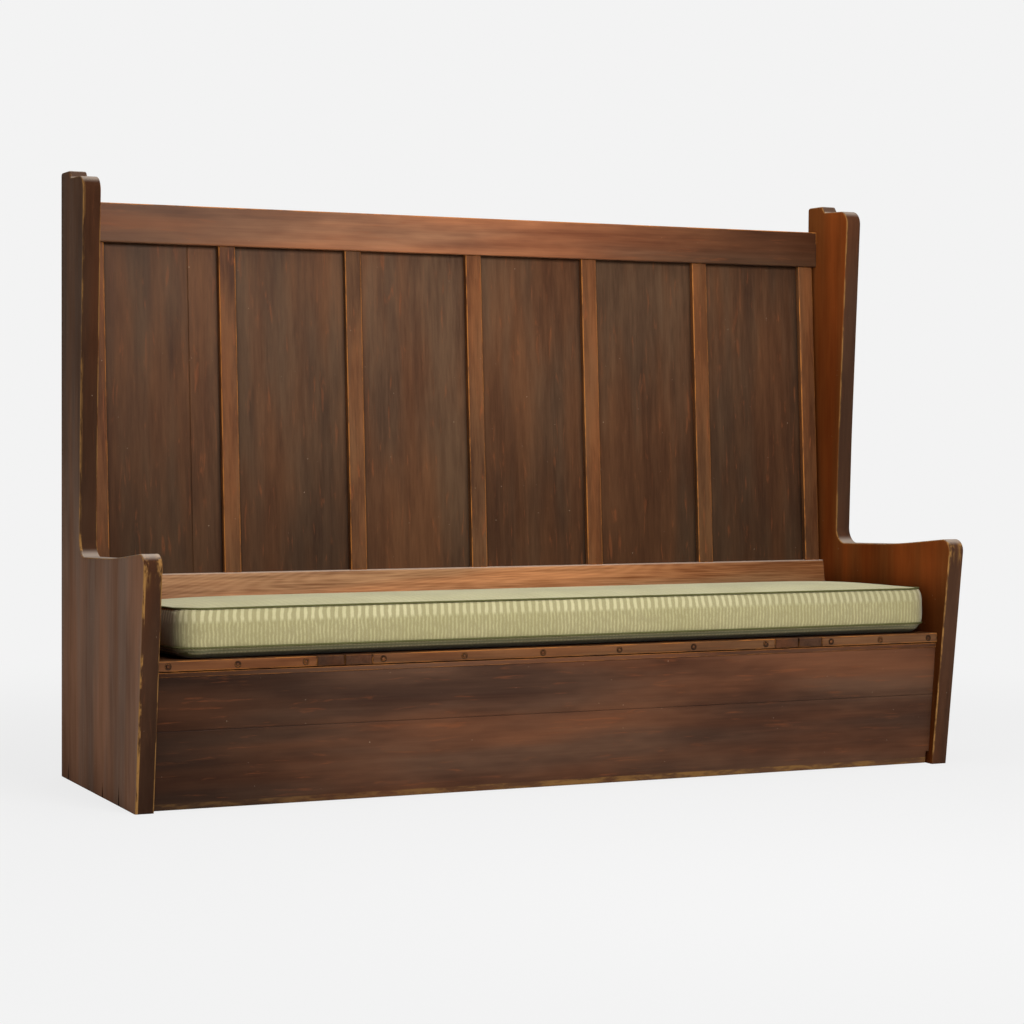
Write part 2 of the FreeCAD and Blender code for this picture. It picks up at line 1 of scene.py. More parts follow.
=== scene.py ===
import math
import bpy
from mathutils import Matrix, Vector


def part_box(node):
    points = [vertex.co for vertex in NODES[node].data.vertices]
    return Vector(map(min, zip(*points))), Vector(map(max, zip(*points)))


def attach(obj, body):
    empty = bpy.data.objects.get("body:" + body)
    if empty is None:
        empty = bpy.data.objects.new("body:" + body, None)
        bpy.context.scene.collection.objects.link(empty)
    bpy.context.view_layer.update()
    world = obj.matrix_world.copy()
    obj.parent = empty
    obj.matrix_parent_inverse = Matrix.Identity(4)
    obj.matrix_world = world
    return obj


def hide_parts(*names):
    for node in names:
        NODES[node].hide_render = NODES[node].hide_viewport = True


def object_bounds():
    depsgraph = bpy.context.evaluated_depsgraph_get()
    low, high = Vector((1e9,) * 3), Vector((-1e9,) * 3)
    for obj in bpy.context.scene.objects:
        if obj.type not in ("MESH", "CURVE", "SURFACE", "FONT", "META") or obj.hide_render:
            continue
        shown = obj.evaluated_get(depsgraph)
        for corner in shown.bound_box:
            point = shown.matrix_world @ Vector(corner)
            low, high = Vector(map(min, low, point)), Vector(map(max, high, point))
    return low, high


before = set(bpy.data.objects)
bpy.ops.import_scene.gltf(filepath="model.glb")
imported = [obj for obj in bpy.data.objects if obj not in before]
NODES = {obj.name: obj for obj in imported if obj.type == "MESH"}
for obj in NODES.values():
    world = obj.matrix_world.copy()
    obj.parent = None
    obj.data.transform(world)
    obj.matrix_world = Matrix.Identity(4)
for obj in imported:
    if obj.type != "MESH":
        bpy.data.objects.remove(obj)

import zlib

import bpy
import numpy as np
from bpy.props import FloatProperty, FloatVectorProperty, PointerProperty
from mathutils import Matrix, Vector

bl_info = {
    "name": "Settle Bench",
    "version": (1, 0, 0),
    "blender": (4, 5, 0),
    "location": "View3D > Sidebar > Settle",
    "description": "Stained wood, striped box cushion and studio for a high-backed settle bench",
    "category": "Object",
}

CAD_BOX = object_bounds()

# Places of the bench that the looks refer to, in metres
BACK_Y = CAD_BOX[1].y
INNER_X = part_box("top_rail")[1].x
PANEL_THICKNESS = CAD_BOX[1].x - INNER_X
RAIL_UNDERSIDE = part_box("top_rail")[0].z
SEAT_RAKE = math.radians(2.2)
SEAT_EDGE = Vector((0.0, BACK_Y - 0.620, 0.324))
# Y and Z of the top front corner of the arms
ARM_NOSE = (BACK_Y - 0.668, 0.545)
# Splits at the foot of the plank ends: distance from the back, height
SPLITS = ((0.064, 0.045), (0.352, 0.040), (0.480, 0.052))
# Height of the rubbed band along the foot of the front
FOOT_BAND = 0.014
# Reach of the painted shade lines on the back boards, under the top rail and beside the battens, and
# what they leave of the colour
CORNER_REACH = 0.012
CORNER_SHARE = 0.50
# Width of the rubbed line on a plank end's left arris, at the left and the right end
LINE_LEFT = 0.0068
LINE_RIGHT = 0.0042

# The cover's mesh: size of a cell, and how much smaller it is sewn before it is filled
COVER_CELL = 0.012
COVER_SLACK = 0.003
# Filling: its last frame, the furthest that a point may move, the room kept over the seat
FILLING_FRAMES = 20
MOST_SWELL = 0.005
SEAT_ROOM = 0.001

# Shades of single boards, as shares of their kind's colour
PANEL_SHADES = {"end_panel_left": 0.62, "end_panel_right": 1.05}
BATTEN_SHADES = (1.0, 0.93, 1.0, 1.05, 1.0, 0.84)
BOARD_SHADES = (0.88, 1.0, 1.0, 1.26, 1.0, 1.0, 1.0)
NOSING_SHADES = {"left": 0.77, "lid": 0.82, "right": 0.98}
PEG_SHADE = 0.8
CLEAT_SHADE = 0.9

# Display colours, 0 to 255, of small marks and of the hinges
PEG_RING = (26, 17, 12)
GAP_LINE = (24, 16, 12)
SPLIT_TONE = (18, 12, 9)
GRIT_TONE = (205, 180, 150)
BRASS = (176, 138, 74)


def tint(red, green, blue):
    """Linear colour of a display colour given in 0 to 255."""
    made = []
    for value in (red, green, blue):
        value /= 255.0
        made.append(value / 12.92 if value <= 0.04045 else ((value + 0.055) / 1.055) ** 2.4)
    return tuple(made)


def colour(name, description, shade):
    return FloatVectorProperty(
        name=name, description=description, subtype="COLOR", size=3, min=0.0, max=1.0,
        default=tint(*shade))


def length(name, description, metres):
    return FloatProperty(
        name=name, description=description, subtype="DISTANCE", unit="LENGTH", min=0.0,
        default=metres)


class SETTLE_PG_wood(bpy.types.PropertyGroup):
    """Stain colours of the bench, a dark and a light one for each kind of board."""

    panel_dark: colour("Panel outside, dark", "Deep tone of the plank ends' outer faces", (96, 70, 56))
    panel_light: colour("Panel outside, light", "Thin stain of the outer faces", (150, 117, 97))
    edge_dark: colour("Panel edge, dark", "Deep tone of the plank ends' narrow edges", (56, 36, 26))
    edge_light: colour("Panel edge, light", "Thin stain of the narrow edges", (96, 64, 46))
    wing_dark: colour("Panel inside, dark", "Deep tone of the plank ends' inner faces", (84, 41, 16))
    wing_light: colour("Panel inside, light", "Thin stain of the inner faces", (132, 72, 33))
    board_dark: colour("Back board, dark", "Deep tone of the back boards", (65, 43, 30))
    board_light: colour("Back board, light", "Thin stain of the back boards", (104, 74, 52))
    batten_dark: colour("Batten, dark", "Deep tone of the battens", (72, 44, 28))
    batten_light: colour("Batten, light", "Thin stain of the battens", (119, 79, 50))
    rail_dark: colour("Top rail, dark", "Deep tone of the top rail", (112, 70, 49))
    rail_light: colour("Top rail, light", "Thin stain of the top rail", (174, 119, 84))
    low_dark: colour("Low rail, dark", "Deep tone of the low rail", (122, 74, 40))
    low_light: colour("Low rail, light", "Thin stain of the low rail", (194, 140, 96))
    front_dark: colour("Box front, dark", "Deep tone of the seat box's front", (60, 39, 29))
    front_light: colour("Box front, light", "Thin stain of the seat box's front", (108, 74, 54))
    seat_dark: colour("Seat edge, dark", "Deep tone of the seat boards and nosings", (78, 44, 27))
    seat_light: colour("Seat edge, light", "Thin stain of the seat boards", (128, 86, 55))
    cleat_dark: colour("Cleat, dark", "Deep tone of the cleats' end grain", (54, 35, 26))
    cleat_light: colour("Cleat, light", "Light tone of the cleats' end grain", (92, 62, 45))
    inner_dark: colour("Inside, dark", "Knots and shade of the unstained boards", (132, 92, 58))
    inner_light: colour("Inside, light", "Unstained boards of the seat box", (196, 154, 106))
    worn: colour("Worn arris", "Bare wood where the stain has worn off", (200, 126, 58))
    scuff: colour("Scuff", "Thin orange places in the stain", (140, 78, 44))
    ochre: colour("Ochre", "Rubbed places at the arms' noses and along the foot", (156, 114, 64))
    # Painted highlight: pale colour laid on the upward faces of the plank ends and the low rail, where
    # light from above falls on their tops
    painted_highlight: colour("Sheen", "Polished tops that catch the light from above", (206, 188, 172))


class SETTLE_PG_cushion(bpy.types.PropertyGroup):
    """Sizes and colours of the loose box cushion."""

    front_inset: length("Front inset", "Cushion's front behind the seat's edge", 0.008)
    depth: length("Depth", "Front to back along the seat", 0.482)
    left_gap: length("Left gap", "Room to the left end panel", 0.050)
    right_gap: length("Right gap", "Room to the right end panel", 0.007)
    low_seam: length("Low seam", "Lower edge of the band above the seat", 0.0095)
    high_seam: length("High seam", "Upper piping above the seat", 0.112)
    crown: length("Crown", "Rise of the top in its middle", 0.012)
    corner_radius: length("Corner radius", "Rounding of the corners in plan", 0.055)
    draw_in: length("Draw-in", "How far the seams lie behind the band's middle", 0.006)
    dip: length("Corner dip", "Fall of the high seam at the corners", 0.001)
    undercut: length("Undercut", "Width of the rounding beneath the low seam", 0.030)
    piping: length("Piping", "Diameter of the piping cord", 0.0045)
    stripe: length("Stripe pitch", "Distance between two woven stripes", 0.018)
    pressure: FloatProperty(
        name="Filling pressure", description="Pressure that swells the cover", min=0.0, default=4.0)
    light: colour("Light stripe", "Bright satin stripe", (201, 192, 146))
    dark: colour("Dark stripe", "Matt ribbed stripe", (154, 142, 95))
    cord: colour("Piping", "Dark green piping", (62, 62, 26))
    top: colour("Top cloth", "Pale upper side", (212, 206, 154))
    under: colour("Underside", "Plain dark green cloth beneath", (90, 88, 40))


class SETTLE_PG_stage(bpy.types.PropertyGroup):
    """Camera, floor and lamps."""

    camera_place: FloatVectorProperty(
        name="Camera place", description="Where the camera stands", subtype="TRANSLATION",
        unit="LENGTH", size=3, default=(-2.516, -5.3564, 0.857))
    camera_turn: FloatProperty(
        name="Camera turn", description="Turn to the right of the bench's own front view",
        subtype="ANGLE", unit="ROTATION", default=math.radians(24.914))
    camera_tilt: FloatProperty(
        name="Camera tilt", description="Tilt above the horizon", subtype="ANGLE",
        unit="ROTATION", default=math.radians(-2.308))
    camera_roll: FloatProperty(
        name="Camera roll", description="Roll of the horizon", subtype="ANGLE",
        unit="ROTATION", default=math.radians(0.395))
    lens: FloatProperty(
        name="Lens", description="Focal length in millimetres on a 36 mm sensor", min=1.0,
        default=87.64)
    backdrop: colour("Backdrop", "Colour of the floor and the backdrop", (243, 243, 243))
    room_light: FloatProperty(
        name="Room light", description="Strength of the even light all round", min=0.0,
        default=0.21)
    key_light: FloatProperty(
        name="Key light", description="Power of the large soft lamp above the front",
        subtype="POWER", min=0.0, default=84.0)
    top_light: FloatProperty(
        name="Top light", description="Power of the soft lamp overhead", subtype="POWER",
        min=0.0, default=26.0)
    back_light: FloatProperty(
        name="Back light", description="Power of the soft lamp behind the bench",
        subtype="POWER", min=0.0, default=30.0)
    side_light: FloatProperty(
        name="Side light", description="Power of the weak lamp at the left", subtype="POWER",
        min=0.0, default=14.0)


# Materials


class Wiring:
    """A material's node tree, wired one node at a time. Inputs are values or sockets."""

    def __init__(self, name):
        self.material = bpy.data.materials.new(name)
        self.material.use_nodes = True
        self.tree = self.material.node_tree
        self.tree.nodes.clear()

    def put(self, socket, value):
        if isinstance(value, bpy.types.NodeSocket):
            self.tree.links.new(value, socket)
        elif socket.type == "RGBA" and len(value) == 3:
            socket.default_value = (*value, 1.0)
        else:
            socket.default_value = value

    def node(self, kind, inputs=(), **settings):
        """Adds a node and gives it; inputs maps socket names or numbers to values."""
        made = self.tree.nodes.new("ShaderNode" + kind)
        for key, value in settings.items():
            setattr(made, key, value)
        for key, value in dict(inputs).items():
            self.put(made.inputs[key], value)
        return made

    def maths(self, operation, first, second=0.0, clamp=False):
        made = self.node("Math", {0: first, 1: second}, operation=operation, use_clamp=clamp)
        return made.outputs[0]

    def step(self, value, low, high, start=0.0, end=1.0):
        """Smooth rise from start to end as the value goes from low to high."""
        inputs = {0: value, 1: low, 2: high, 3: start, 4: end}
        return self.node("MapRange", inputs, interpolation_type="SMOOTHSTEP").outputs[0]

    def blend(self, amount, first, second, mode="MIX"):
        inputs = {0: amount, 6: first, 7: second}
        made = self.node("Mix", inputs, data_type="RGBA", blend_type=mode)
        return made.outputs[2]

    def stretched(self, vector, scale):
        return self.node("Mapping", {"Vector": vector, "Scale": scale}).outputs[0]

    def noise(self, vector, scale, detail=2.0, roughness=0.5, distortion=0.0):
        """Noise of a vector stretched by three scales, per metre."""
        inputs = {
            "Vector": self.stretched(vector, scale), "Scale": 1.0, "Detail": detail,
            "Roughness": roughness, "Distortion": distortion,
        }
        return self.node("TexNoise", inputs).outputs[0]

    def scaled(self, colour, share):
        return self.node("VectorMath", {0: colour, "Scale": share}, operation="SCALE").outputs[0]

    def close(self, shader):
        self.node("OutputMaterial", {"Surface": shader})
        return self.material


GRAIN_TURN = {
    "x": (0.0, 0.0, 0.0),
    "y": (0.0, 0.0, -math.pi / 2),
    "z": (0.0, math.pi / 2, 0.0),
}


def grain_space(w, axis, seed):
    """Object coordinates turned so that the grain runs along their first axis."""
    rng = np.random.default_rng(seed)
    place = [float(value) for value in rng.uniform(-20.0, 20.0, 3)]
    inputs = {
        "Vector": w.node("TexCoord").outputs["Object"], "Rotation": GRAIN_TURN[axis],
        "Location": place,
    }
    return w.node("Mapping", inputs).outputs[0]


def arris_mask(w, kind, radius, square):
    """Grows towards 1 along the edges of a board, 0 on its flats.

    On a rounded arris the surface looks between two axes: with n the object's own normal,
    2 * (1 - (nx^4 + ny^4 + nz^4)) is 0 on a face and 1 midway. A panel's outline turns about
    X, so there ny and nz count as one. Sharp edges come from the rounded normal's turn.
    """
    rounded = w.node("Bevel", {"Radius": radius}, samples=6).outputs[0]
    flat = w.node("NewGeometry").outputs["Normal"]
    turn = w.node("VectorMath", {0: rounded, 1: flat}, operation="DOT_PRODUCT").outputs["Value"]
    sharp = w.step(turn, 0.995, 0.88)
    if kind == "panel":
        sideways = w.node("SeparateXYZ", {0: square}).outputs[0]
        rest = w.maths("SUBTRACT", 4.0, w.maths("MULTIPLY", sideways, 4.0))
        between = w.maths("MULTIPLY", sideways, rest)
    else:
        fourth = w.node("VectorMath", {0: square, 1: square}, operation="DOT_PRODUCT")
        fourth = fourth.outputs["Value"]
        between = w.maths("SUBTRACT", 2.0, w.maths("MULTIPLY", fourth, 2.0))
    return w.maths("MAXIMUM", sharp, w.step(between, 0.3, 0.75)), rounded


# For each kind of board: broad mottle, soft streaks, fine fibres, ring figure and its count,
# reddish scuffs, wear of the arrises, roughness and shine
FINISH_PARTS = ("mottle", "streak", "fine", "figure", "rings", "scuff", "wear", "rough", "shine")
FINISHES = {
    "panel": (0.50, 0.18, 0.08, 0.04, 5.0, 0.10, 0.65, 0.36, 0.0),
    "board": (0.50, 0.34, 0.16, 0.08, 6.0, 0.32, 0.0, 0.36, 0.05),
    "batten": (0.85, 0.40, 0.20, 0.04, 6.0, 0.50, 0.9, 0.38, 0.06),
    "rail": (0.80, 0.26, 0.12, 0.03, 4.0, 0.28, 1.4, 0.32, 0.08),
    "low": (0.30, 0.30, 0.55, 0.16, 60.0, 0.10, 0.0, 0.32, 0.10),
    "front": (0.72, 0.16, 0.08, 0.04, 5.0, 0.28, 0.0, 0.40, 0.05),
    "seat": (0.55, 0.50, 0.24, 0.20, 8.0, 0.25, 0.7, 0.42, 0.06),
    "cleat": (0.50, 0.30, 0.30, 0.05, 5.0, 0.00, 0.2, 0.50, 0.02),
    "inner": (0.45, 0.35, 0.20, 0.40, 9.0, 0.00, 0.1, 0.60, 0.10),
}


def panel_tones(w, tone, square, shade):
    """Stain of a plank end: orange brown inside, greyer outside and darker on its edges.

    Inner and outer faces differ in how far they are from the bench's middle, and the narrow edges are
    where the object's own normal has no part along X. Over the stain lie painted light and shade: ramps
    along the outer and inner faces.
    """
    props = bpy.context.scene.settle_wood
    place = w.node("SeparateXYZ", {0: w.node("TexCoord").outputs["Object"]}).outputs
    outside = w.blend(tone, tuple(props.panel_dark), tuple(props.panel_light))
    # Painted shade: the outer faces darker towards the top and lighter low down, where light comes up
    # from the floor
    outside = w.scaled(outside, w.step(place[2], 0.45, 1.15, 1.0, 0.60))
    inside = w.blend(tone, tuple(props.wing_dark), tuple(props.wing_light))
    # Painted light on the inner faces: lighter towards the front edge and the top, painted shade
    # towards the back corner and low down beside the cushion
    inside = w.scaled(inside, w.step(place[1], BACK_Y - 0.17, BACK_Y - 0.05, 1.15, 0.80))
    inside = w.scaled(inside, w.step(place[2], 0.37, 0.50, 0.35, 1.0))
    inside = w.scaled(inside, w.step(place[2], 0.85, 1.30, 1.0, 1.25))
    edge = w.blend(
        tone, [c * shade for c in props.edge_dark], [c * shade for c in props.edge_light])
    depth = w.maths("ABSOLUTE", place[0])
    faces = w.blend(w.step(depth, INNER_X + 0.003, INNER_X + 0.001), outside, inside)
    narrow = w.step(w.node("SeparateXYZ", {0: square}).outputs[0], 0.75, 0.35)
    return w.blend(narrow, faces, edge)


def panel_marks(w, base, rubbed, square, left_face):
    """Ochre nose of the arm and dark splits that run up from the foot of the outer face."""
    props = bpy.context.scene.settle_wood
    place = w.node("SeparateXYZ", {0: w.node("TexCoord").outputs["Object"]}).outputs
    ahead = w.maths("SUBTRACT", place[1], ARM_NOSE[0])
    above = w.maths("SUBTRACT", place[2], ARM_NOSE[1])
    squares = w.maths("ADD", w.maths("MULTIPLY", ahead, ahead), w.maths("MULTIPLY", above, above))
    away = w.maths("SQRT", squares)
    near = w.maths("SUBTRACT", place[0], left_face)
    far = w.maths("SUBTRACT", PANEL_THICKNESS, near)
    inward = w.maths("MINIMUM", near, far)
    narrow = w.step(w.node("SeparateXYZ", {0: square}).outputs[0], 0.95, 0.60)
    nose = w.maths("MULTIPLY", w.step(away, 0.075, 0.020), w.step(inward, 0.020, 0.005))
    wide = LINE_LEFT if left_face < 0.0 else LINE_RIGHT
    thin = w.step(far, 0.0040, 0.0025, 0.0, 0.4)
    line = w.maths("MAXIMUM", w.step(near, wide, wide - 0.002), thin)
    line = w.maths("MULTIPLY", line, w.step(place[2], 0.60, 0.54, 0.25, 1.0))
    rubbing = w.maths("MAXIMUM", nose, line)
    rubbing = w.maths("MULTIPLY", rubbing, w.step(rubbed, 0.44, 0.56, 0.0, 0.9))
    base = w.blend(w.maths("MULTIPLY", rubbing, narrow), base, tuple(props.ochre))
    for behind, height in SPLITS:
        bend = w.maths("MULTIPLY", w.maths("SUBTRACT", rubbed, 0.5), 0.006)
        aside = w.maths("SUBTRACT", w.maths("ADD", place[1], bend), BACK_Y - behind)
        aside = w.maths("ABSOLUTE", aside)
        width = w.step(place[2], 0.0, height, 0.0042, 0.0)
        split = w.maths("LESS_THAN", aside, width)
        base = w.blend(w.maths("MULTIPLY", split, 0.9), base, tint(*SPLIT_TONE))
    return base


def peg_distance(w, node):
    """Distance in metres beyond the rim of the nearest peg on the front of a pegged strip."""
    low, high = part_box("nosing_pegs_" + node)
    radius = (high.z - low.z) / 2
    count = {"left": 3, "lid": 6, "right": 3}[node]
    first = low.x + radius
    pitch = (high.x - low.x - 2 * radius) / (count - 1)
    place = w.node("SeparateXYZ", {0: w.node("TexCoord").outputs["Object"]})
    along = w.maths("DIVIDE", w.maths("SUBTRACT", place.outputs[0], first - pitch / 2), pitch)
    across = w.maths("MULTIPLY", w.maths("SUBTRACT", w.maths("FRACT", along), 0.5), pitch)
    rise = w.maths("SUBTRACT", place.outputs[2], (low.z + high.z) / 2)
    squares = w.maths("ADD", w.maths("MULTIPLY", across, across), w.maths("MULTIPLY", rise, rise))
    return w.maths("SUBTRACT", w.maths("SQRT", squares), radius)


def end_lines(w, node, place):
    """Dark lines at both ends of a strip, where it meets its neighbours, 0 to 1."""
    low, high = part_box(node)
    inward = w.maths(
        "MINIMUM", w.maths("SUBTRACT", place[0], low.x), w.maths("SUBTRACT", high.x, place[0]))
    return w.step(inward, 0.0032, 0.0014)


def shaded_corners(w, base, place, battens):
    """Dark soft lines on a back board's front, under the top rail and beside its battens."""
    near = w.maths("SUBTRACT", RAIL_UNDERSIDE, place[2])
    for batten in battens:
        low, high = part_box(batten)
        aside = w.maths("ABSOLUTE", w.maths("SUBTRACT", place[0], (low.x + high.x) / 2))
        near = w.maths("MINIMUM", near, w.maths("SUBTRACT", aside, (high.x - low.x) / 2))
    facing = w.node("SeparateXYZ", {0: w.node("TexCoord").outputs["Normal"]}).outputs[1]
    front = w.step(facing, -0.3, -0.7)
    # Painted shade where the top rail and the battens shadow the board
    darker = w.scaled(base, w.step(near, 0.0, CORNER_REACH, CORNER_SHARE, 1.0))
    return w.blend(front, base, darker)


# Ramps that darken a board along it: number of the axis, its two places in metres and the share of the
# colour's lightness left at each. The top rail's and the front's are stain, the low rail's darkens
# towards its right end, and the back boards' are painted shade, darker towards the bottom and the right
# end.
DEEPER = {
    "rail": ((0, -1.0, -0.10, 0.37, 1.0), (0, 0.08, 0.85, 1.0, 0.23)),
    "low": ((0, 0.2, 0.9, 1.0, 0.62),),
    # Painted shade on the back boards: darker towards the bottom and the right end
    "board": ((2, 0.45, 1.15, 0.66, 1.0), (0, 0.3, 1.0, 1.0, 0.86)),
    "front": ((0, -1.0, -0.30, 0.40, 1.0),),
}


def deepen(w, kind, base):
    """Multiplies a colour by the kind's ramps along the board."""
    place = w.node("SeparateXYZ", {0: w.node("TexCoord").outputs["Object"]})
    for number, *ramp in DEEPER.get(kind, ()):
        share = w.step(place.outputs[number], *ramp)
        base = w.scaled(base, share)
    return base


def wood(name, kind, axis, shade=1.0, pegs=None, **changes):
    """Stained board: mottle, streaks, fibres, scuffs and worn arrises over a varnish."""
    props = bpy.context.scene.settle_wood
    f = dict(zip(FINISH_PARTS, FINISHES[kind]))
    f.update(cut=name, wear_above=0.0, lined=None, left_face=0.0, battens=())
    f.update(changes)
    w = Wiring(name)
    grain = grain_space(w, axis, zlib.crc32(f["cut"].encode()))
    mottle = w.noise(grain, (1.5, 7.0, 7.0), 4.0, 0.6)
    field = w.noise(grain, (0.6, 6.0, 6.0), 1.0, 0.4, 0.3)
    wave = w.maths("SINE", w.maths("MULTIPLY", field, 2 * math.pi * f["rings"]))
    streak = w.noise(grain, (2.4, 64.0, 64.0), 5.0, 0.62)
    fine = w.noise(grain, (7.0, 230.0, 230.0), 3.0, 0.6)
    tone = w.maths("MULTIPLY", w.step(mottle, 0.32, 0.68, -1.0, 1.0), f["mottle"] * 0.5)
    tone = w.maths("ADD", tone, w.maths("MULTIPLY", wave, f["figure"] * 0.5))
    for part, field in (("streak", streak), ("fine", fine)):
        share = w.maths("MULTIPLY", w.step(field, 0.3, 0.7, -1.0, 1.0), f[part] * 0.5)
        tone = w.maths("ADD", tone, share)
    tone = w.maths("ADD", tone, 0.5, clamp=True)
    own = w.node("TexCoord").outputs["Normal"]
    square = w.node("VectorMath", {0: own, 1: own}, operation="MULTIPLY").outputs[0]
    if kind == "panel":
        base = panel_tones(w, tone, square, shade)
    else:
        dark = [c * shade for c in getattr(props, kind + "_dark")]
        light = [c * shade for c in getattr(props, kind + "_light")]
        base = deepen(w, kind, w.blend(tone, dark, light))
    cast = w.noise(grain, (1.2, 12.0, 12.0), 2.0, 0.5)
    cast = w.blend(w.step(cast, 0.36, 0.64), (1.13, 0.97, 0.84), (0.91, 1.00, 1.06))
    base = w.blend(0.9, base, cast, "MULTIPLY")
    patch = w.noise(grain, (9.0, 90.0, 90.0), 3.0, 0.6, 0.5)
    patch = w.maths("MULTIPLY", w.step(patch, 0.58, 0.74), f["scuff"])
    base = w.blend(patch, base, tuple(props.scuff))
    grit = w.noise(grain, (190.0, 190.0, 190.0), 1.0)
    base = w.blend(w.step(grit, 0.81, 0.84, 0.0, 0.5), base, tint(*GRIT_TONE))
    place = w.node("SeparateXYZ", {0: w.node("TexCoord").outputs["Object"]}).outputs
    rubbed = w.noise(grain, (12.0, 60.0, 60.0), 4.0, 0.7)
    if pegs:
        beyond = peg_distance(w, pegs)
        ring = w.maths("MULTIPLY", w.step(beyond, -0.0026, -0.0010), w.step(beyond, 0.0034, 0.0016))
        base = w.blend(w.maths("MULTIPLY", ring, 0.95), base, tint(*PEG_RING))
    if f["lined"]:
        base = w.blend(w.maths("MULTIPLY", end_lines(w, f["lined"], place), 0.9), base, tint(*GAP_LINE))
    if kind == "front":
        band = w.step(place[2], FOOT_BAND + 0.003, FOOT_BAND)
        band = w.maths("MULTIPLY", band, w.step(rubbed, 0.40, 0.60, 0.10, 0.9))
        band = w.maths("MULTIPLY", band, w.step(place[0], -0.9, 0.1, 0.35, 1.0))
        base = w.blend(band, base, [0.66 * c for c in props.ochre])
    if f["battens"]:
        base = shaded_corners(w, base, place, f["battens"])
    if kind == "panel":
        base = panel_marks(w, base, rubbed, square, f["left_face"])
    if kind in ("seat", "panel", "low"):
        upward = w.node("SeparateXYZ", {0: square}).outputs[2]
        if kind == "seat":
            # Painted shade: the upward faces of the seat boards and nosings darker, where the cushion
            # shades them
            base = w.scaled(base, w.step(upward, 0.5, 0.9, 1.0, 0.55))
        else:
            # Painted highlight on the upward faces of the plank ends and the low rail
            highlight_share = w.maths("MULTIPLY", w.step(upward, 0.25, 0.9), 0.6)
            base = w.blend(highlight_share, base, tuple(props.painted_highlight))
    arris, rounded = arris_mask(w, kind, 0.0045, square)
    wear = w.maths("MULTIPLY", arris, w.step(rubbed, 0.40, 0.58, 0.15, 1.0))
    wear = w.maths("MULTIPLY", wear, w.step(place[2], f["wear_above"], f["wear_above"] + 0.01))
    wear = w.maths("MULTIPLY", wear, f["wear"], clamp=True)
    base = w.blend(wear, base, tuple(props.ochre if kind == "panel" else props.worn))
    rough = w.maths("ADD", w.maths("MULTIPLY", streak, 0.24), f["rough"] - 0.06)
    rough = w.maths("ADD", rough, w.maths("MULTIPLY", wear, 0.2), clamp=True)
    swell = w.noise(grain, (1.6, 9.0, 9.0), 1.0)
    planed = w.node("Bump", {
        "Height": swell, "Normal": rounded, "Distance": 0.004, "Strength": 0.35})
    fibre = w.node("Bump", {
        "Height": fine, "Normal": planed.outputs[0], "Distance": 0.0003, "Strength": 0.4})
    shader = w.node("BsdfPrincipled", {
        "Base Color": base, "Roughness": rough, "Normal": fibre.outputs[0],
        "Specular IOR Level": f["shine"],
    })
    return w.close(shader.outputs[0])


def finish_node(node, material):
    """Gives a CAD node its material."""
    slots = NODES[node].material_slots
    if not slots:
        NODES[node].data.materials.append(material)
    for found in slots:
        found.material = material


def finish_boards(kind, axis, nodes, shades=(), **changes):
    """Gives each board of one kind its own cut of the same stained wood."""
    for i, node in enumerate(nodes):
        shade = shades[i] if i < len(shades) else 1.0
        finish_node(node, wood(node + "_finish", kind, axis, shade, **changes))


def metal(name, shade, rough):
    """Aged metal: a mottled colour with rougher spots."""
    w = Wiring(name)
    spots = w.noise(w.node("TexCoord").outputs["Object"], (90.0, 90.0, 90.0), 4.0, 0.6)
    base = w.blend(w.step(spots, 0.35, 0.65), [c * 0.55 for c in tint(*shade)], tint(*shade))
    shader = w.node("BsdfPrincipled", {
        "Base Color": base, "Metallic": 1.0,
        "Roughness": w.step(spots, 0.3, 0.7, rough + 0.2, rough),
    })
    return w.close(shader.outputs[0])


